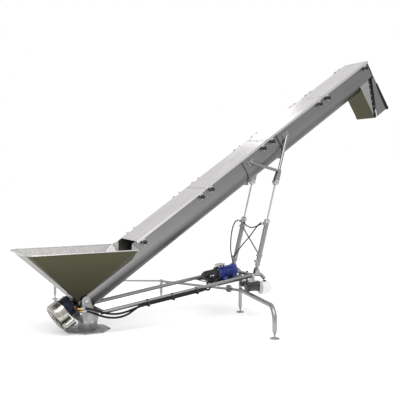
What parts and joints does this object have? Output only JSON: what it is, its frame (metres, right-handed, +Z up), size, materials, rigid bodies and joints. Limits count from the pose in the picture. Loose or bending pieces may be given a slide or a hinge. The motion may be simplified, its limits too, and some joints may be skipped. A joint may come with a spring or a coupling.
{
  "type": "grain auger",
  "caption": "Inclined screw conveyor with a hopper at its low end, lidded trough, hooded spout, hydraulic drive and lift cylinders on a tubular frame with levelling feet.",
  "frame": {"origin": "centre of the octagonal base plate, on the ground", "axes": "+X toward the discharge end, +Y toward the far outrigger, +Z up"},
  "size_m": [4.8575, 3.277, 3.1136],
  "materials": {
    "sheet_steel": "brushed stainless sheet, cool grey",
    "lid_steel": "bright brushed stainless sheet",
    "hopper_steel": "polished stainless sheet that mirrors dull ground",
    "chute_steel": "plain stainless sheet, smooth",
    "tube_steel": "satin stainless tube",
    "dark_steel": "dull steel plate",
    "chrome_rod": "ground and chromed rod",
    "cast_iron": "raw casting",
    "dark_casting": "dark enamel on castings",
    "blue_paint": "gloss blue enamel",
    "navy_paint": "dark navy enamel",
    "drum_steel": "polished steel drum",
    "black_paint": "black enamel",
    "aluminium_block": "machined aluminium",
    "white_plastic": "translucent white moulded tank",
    "black_plastic": "moulded clip",
    "knob_plastic": "moulded black knob",
    "hose_rubber": "smooth hydraulic hose cover",
    "seal_rubber": "sheet rubber",
    "brass": "machined brass"
  },
  "bodies": {
    "frame": {"base_plate": "dark_steel", "pedestal": "dark_steel", "near_frame_tube": "tube_steel", "far_frame_tube": "tube_steel", "rear_crossbar": "tube_steel", "centre_leg": "tube_steel", "near_outrigger": "tube_steel", "far_outrigger": "tube_steel", "side_stay": "tube_steel", "pack_tray": "tube_steel", "drive_pump_motor": "blue_paint", "drive_pump": "dark_casting", "lift_pack_motor": "black_paint", "lift_pack_manifold": "aluminium_block", "lift_tank": "white_plastic", "valve_block": "dark_casting", "hose_clips": "black_plastic", "supply_hose": "hose_rubber", "return_hose": "hose_rubber", "lift_hose": "hose_rubber", "pack_hose": "hose_rubber"},
    "conveyor": {"trough": "sheet_steel", "end_plates": "sheet_steel", "trough_saddle": "sheet_steel", "lift_brackets": "tube_steel", "hopper": "hopper_steel", "discharge_chute": "chute_steel", "chute_seals": "seal_rubber", "bearing_housings": "cast_iron", "drive_motor": "navy_paint", "gearbox": "drum_steel", "brass_fittings": "brass", "lid_hinges": "tube_steel"},
    "auger": {"auger_shaft": "tube_steel", "flighting": "sheet_steel"},
    "hood_door": {"hood": "sheet_steel", "hood_flap": "seal_rubber"},
    "barrels": {"near_barrel": "tube_steel", "far_barrel": "tube_steel", "barrel_brace": "tube_steel", "crossover_hoses": "hose_rubber"},
    "near_piston": {"near_rod": "chrome_rod"},
    "far_piston": {"far_rod": "chrome_rod"},
    "lever": {"valve_lever": "tube_steel"},
    "near_levelling_foot": {"near_foot_screw": "dark_steel"},
    "far_levelling_foot": {"far_foot_screw": "dark_steel"},
    "centre_levelling_foot": {"centre_foot_screw": "dark_steel"},
    "side_levelling_foot": {"side_foot_screw": "dark_steel"},
    "lid_1_body": {"lid_1": "lid_steel"},
    "lid_2_body": {"lid_2": "lid_steel"},
    "lid_3_body": {"lid_3": "lid_steel"},
    "lid_4_body": {"lid_4": "lid_steel"},
    "knob_1_body": {"knob_1": "knob_plastic"},
    "knob_2_body": {"knob_2": "knob_plastic"},
    "knob_3_body": {"knob_3": "knob_plastic"},
    "knob_4_body": {"knob_4": "knob_plastic"},
    "knob_5_body": {"knob_5": "knob_plastic"},
    "knob_6_body": {"knob_6": "knob_plastic"},
    "knob_7_body": {"knob_7": "knob_plastic"},
    "knob_8_body": {"knob_8": "knob_plastic"}
  },
  "joints": [
    {"name": "conveyor_tilt", "type": "hinge", "parent": "frame", "child": "conveyor", "pos_m": [-0.085, 0, 0.35], "axis": [0, -1, 0], "range_deg": [-5, 2], "deforming": ["supply_hose", "return_hose"]},
    {"name": "auger_spin", "type": "hinge", "parent": "conveyor", "child": "auger", "pos_m": [0.57849, 0, 0.78218], "axis": [0.829, 0, 0.5592], "continuous": true},
    {"name": "hood_swing", "type": "hinge", "parent": "conveyor", "child": "hood_door", "pos_m": [3.71916, 0, 3.10565], "axis": [0, -1, 0], "range_deg": [0, 60]},
    {"name": "cylinder_swing", "type": "hinge", "parent": "frame", "child": "barrels", "pos_m": [1.99, 0, 0.545], "axis": [0, -1, 0], "range_deg": [-9.25, 3.76], "deforming": ["lift_hose"]},
    {"name": "near_rod_slide", "type": "slide", "parent": "barrels", "child": "near_piston", "axis": [0.2518, 0, 0.9678], "range_m": [-0.1677, 0.0674]},
    {"name": "far_rod_slide", "type": "slide", "parent": "barrels", "child": "far_piston", "axis": [0.2518, 0, 0.9678], "range_m": [-0.1677, 0.0674]},
    {"name": "valve_lever_tilt", "type": "hinge", "parent": "frame", "child": "lever", "pos_m": [1.97, -0.078, 0.398], "axis": [1, 0, 0], "range_deg": [-15, 15]},
    {"name": "lid_1_hinge", "type": "hinge", "parent": "conveyor", "child": "lid_1_body", "pos_m": [0.47559, 0.222, 0.93472], "axis": [-0.829, 0, -0.5592], "range_deg": [0, 95]},
    {"name": "lid_2_hinge", "type": "hinge", "parent": "conveyor", "child": "lid_2_body", "pos_m": [0.47559, 0.222, 0.93472], "axis": [-0.829, 0, -0.5592], "range_deg": [0, 95]},
    {"name": "lid_3_hinge", "type": "hinge", "parent": "conveyor", "child": "lid_3_body", "pos_m": [0.47559, 0.222, 0.93472], "axis": [-0.829, 0, -0.5592], "range_deg": [0, 95]},
    {"name": "lid_4_hinge", "type": "hinge", "parent": "conveyor", "child": "lid_4_body", "pos_m": [0.47559, 0.222, 0.93472], "axis": [-0.829, 0, -0.5592], "range_deg": [0, 95]},
    {"name": "knob_1_turn", "type": "hinge", "parent": "conveyor", "child": "knob_1_body", "pos_m": [0.57524, -0.24, 0.92112], "axis": [0, 1, 0], "continuous": true},
    {"name": "knob_2_turn", "type": "hinge", "parent": "conveyor", "child": "knob_2_body", "pos_m": [1.27992, -0.24, 1.39643], "axis": [0, 1, 0], "continuous": true},
    {"name": "knob_3_turn", "type": "hinge", "parent": "conveyor", "child": "knob_3_body", "pos_m": [1.40428, -0.24, 1.48031], "axis": [0, 1, 0], "continuous": true},
    {"name": "knob_4_turn", "type": "hinge", "parent": "conveyor", "child": "knob_4_body", "pos_m": [2.10896, -0.24, 1.95562], "axis": [0, 1, 0], "continuous": true},
    {"name": "knob_5_turn", "type": "hinge", "parent": "conveyor", "child": "knob_5_body", "pos_m": [2.23331, -0.24, 2.0395], "axis": [0, 1, 0], "continuous": true},
    {"name": "knob_6_turn", "type": "hinge", "parent": "conveyor", "child": "knob_6_body", "pos_m": [2.93799, -0.24, 2.51482], "axis": [0, 1, 0], "continuous": true},
    {"name": "knob_7_turn", "type": "hinge", "parent": "conveyor", "child": "knob_7_body", "pos_m": [3.06235, -0.24, 2.5987], "axis": [0, 1, 0], "continuous": true},
    {"name": "knob_8_turn", "type": "hinge", "parent": "conveyor", "child": "knob_8_body", "pos_m": [3.67169, -0.24, 3.0097], "axis": [0, 1, 0], "continuous": true},
    {"name": "near_foot_screw_travel", "type": "slide", "parent": "frame", "child": "near_levelling_foot", "axis": [0, 0, -1], "range_m": [0, 0.04]},
    {"name": "far_foot_screw_travel", "type": "slide", "parent": "frame", "child": "far_levelling_foot", "axis": [0, 0, -1], "range_m": [0, 0.04]},
    {"name": "centre_foot_screw_travel", "type": "slide", "parent": "frame", "child": "centre_levelling_foot", "axis": [0, 0, -1], "range_m": [0, 0.04]},
    {"name": "side_foot_screw_travel", "type": "slide", "parent": "frame", "child": "side_levelling_foot", "axis": [0, 0, -1], "range_m": [0, 0.04]}
  ],
  "couplings": [
    {"joint": "cylinder_swing", "follows": "conveyor_tilt", "ratio": 1.831},
    {"joint": "near_rod_slide", "follows": "conveyor_tilt", "m_per_rad": 1.9158},
    {"joint": "far_rod_slide", "follows": "conveyor_tilt", "m_per_rad": 1.9158}
  ]
}
